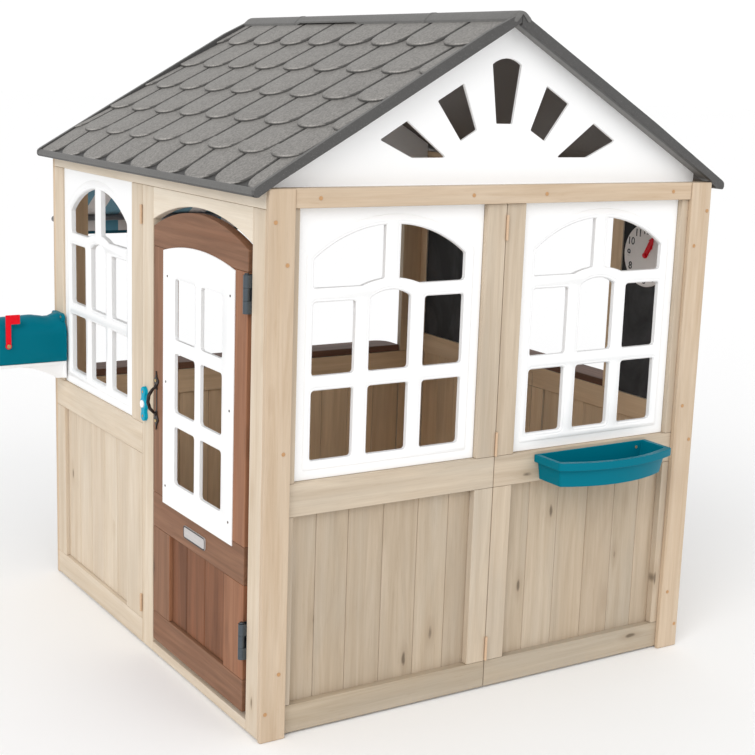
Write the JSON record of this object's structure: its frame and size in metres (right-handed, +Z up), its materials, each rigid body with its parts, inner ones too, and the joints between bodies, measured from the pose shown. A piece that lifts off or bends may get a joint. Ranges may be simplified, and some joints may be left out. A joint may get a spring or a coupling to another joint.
{
  "type": "wooden playhouse",
  "caption": "Wooden children's playhouse with a pitched shingle roof, arched door, moulded windows, serving counters, awning, mailbox, planter and toy clock.",
  "frame": {"origin": "centre of the overall footprint at ground level (centre of the bounding box in X and Y, lowest point at z = 0)", "axes": "+Z up; -Y towards the gabled front with the flower box; -X towards the wall with the door and the mailbox; +Y towards the awning"},
  "size_m": [1.41, 1.484, 1.447],
  "materials": {
    "wall_wood": "pale stained softwood, satin",
    "post_wood": "pale stained softwood, satin",
    "door_wood": "brown stained softwood, satin",
    "counter_wood": "dark brown stained softwood, satin",
    "white_plastic": "white moulded plastic",
    "roof_plastic": "dark grey moulded plastic with a fine texture",
    "teal_plastic": "teal moulded plastic",
    "red_plastic": "red moulded plastic",
    "chalkboard": "matt black writing surface",
    "awning_fabric": "woven fabric, blue and off-white stripes",
    "grey_tube": "grey painted tube",
    "dark_metal": "near-black painted metal",
    "hinge_metal": "grey steel",
    "copper_metal": "copper-coloured plated metal",
    "brass_metal": "brass-coloured plated metal",
    "clock_plastic": "light grey plastic dial",
    "plate_metal": "satin grey plate"
  },
  "bodies": {
    "house": {"corner_boards": "post_wood", "top_trims": "post_wood", "front_bottom_rails": "wall_wood", "front_mid_rails": "wall_wood", "front_top_rails": "wall_wood", "front_stiles": "wall_wood", "front_planks": "wall_wood", "front_window_left": "white_plastic", "front_window_right": "white_plastic", "left_rails": "wall_wood", "left_top_rail": "wall_wood", "left_stiles": "wall_wood", "left_planks": "wall_wood", "left_window": "white_plastic", "door_posts": "wall_wood", "door_header": "wall_wood", "door_sill": "wall_wood", "back_rails": "wall_wood", "back_stiles": "wall_wood", "back_planks": "wall_wood", "right_rails": "wall_wood", "right_stiles": "wall_wood", "right_planks": "wall_wood", "chalkboards": "chalkboard", "back_counter": "counter_wood", "right_counter": "counter_wood", "front_gable": "white_plastic", "rear_gable": "white_plastic", "left_roof_panel": "roof_plastic", "right_roof_panel": "roof_plastic", "ridge_caps": "roof_plastic", "awning_cover": "awning_fabric", "awning_frame": "grey_tube", "flower_box": "teal_plastic", "mailbox_body": "teal_plastic", "mailbox_bracket": "white_plastic", "mailbox_pins": "brass_metal", "doorbell_plate": "teal_plastic", "clock_face": "clock_plastic", "clock_pin": "red_plastic", "seam_hinges": "copper_metal", "door_hinge_frame_leaves": "hinge_metal", "door_hinge_pins": "hinge_metal", "frame_screws": "copper_metal"},
    "door": {"door_stiles": "door_wood", "door_arched_rail": "door_wood", "door_mid_rail": "door_wood", "door_bottom_rail": "door_wood", "door_planks": "door_wood", "door_window": "white_plastic", "door_handle": "dark_metal", "door_nameplate": "plate_metal", "door_hinge_door_leaves": "hinge_metal", "door_screws": "brass_metal"},
    "letter_flap": {"mailbox_door": "teal_plastic"},
    "flag": {"mailbox_flag": "red_plastic"},
    "bell_push": {"doorbell_button": "white_plastic"},
    "hour_hand": {"clock_hour_hand": "red_plastic"},
    "minute_hand": {"clock_minute_hand": "red_plastic"}
  },
  "joints": [
    {"name": "door_hinge", "type": "hinge", "parent": "house", "child": "door", "pos_m": [-0.484, -0.56, 0.5], "axis": [0, 0, 1], "range_deg": [0, 110]},
    {"name": "letter_flap_hinge", "type": "hinge", "parent": "house", "child": "letter_flap", "pos_m": [-0.691, 0.481, 0.575], "axis": [0, -1, 0], "range_deg": [0, 90]},
    {"name": "flag_pivot", "type": "hinge", "parent": "house", "child": "flag", "pos_m": [-0.627, 0.429, 0.629], "axis": [0, 1, 0], "range_deg": [0, 90]},
    {"name": "bell_press", "type": "slide", "parent": "house", "child": "bell_push", "axis": [1, 0, 0], "range_m": [0, 0.0025], "stiffness_N_per_m": 400},
    {"name": "hour_hand_turn", "type": "hinge", "parent": "house", "child": "hour_hand", "pos_m": [0.617, -0.456, 0.915], "axis": [1, 0, 0], "continuous": true},
    {"name": "minute_hand_turn", "type": "hinge", "parent": "house", "child": "minute_hand", "pos_m": [0.615, -0.456, 0.915], "axis": [1, 0, 0], "continuous": true}
  ]
}
